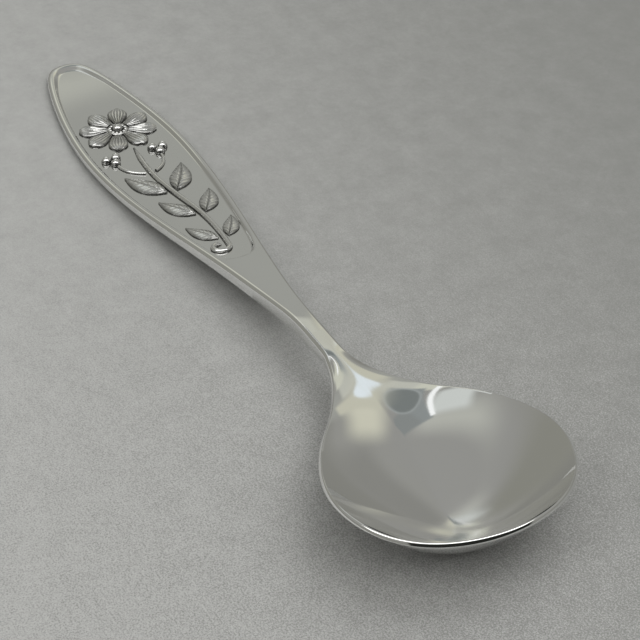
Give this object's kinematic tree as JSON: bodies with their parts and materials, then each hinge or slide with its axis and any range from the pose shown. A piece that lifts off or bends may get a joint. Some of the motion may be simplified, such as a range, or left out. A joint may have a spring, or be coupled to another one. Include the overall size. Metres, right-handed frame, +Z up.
{
  "type": "baby spoon",
  "caption": "Small one-piece silver feeding spoon with a pear-shaped bowl and a leaf-shaped handle whose sunken panel carries a flower sprig in relief.",
  "frame": {"origin": "middle of the small flat under the bowl, which the spoon rests on", "axes": "+X along the spoon towards the front of the bowl, +Z up out of the bowl, +Y to the left of someone looking along +X"},
  "size_m": [0.145, 0.0336, 0.0107],
  "materials": {
    "polished_silver": "polished",
    "aged_silver": "satin"
  },
  "bodies": {
    "root": {"bowl": "polished_silver", "handle": "polished_silver", "petals": "aged_silver", "button": "aged_silver", "stem": "aged_silver", "tendrils": "aged_silver", "leaves": "aged_silver", "berries": "aged_silver"}
  },
  "joints": []
}
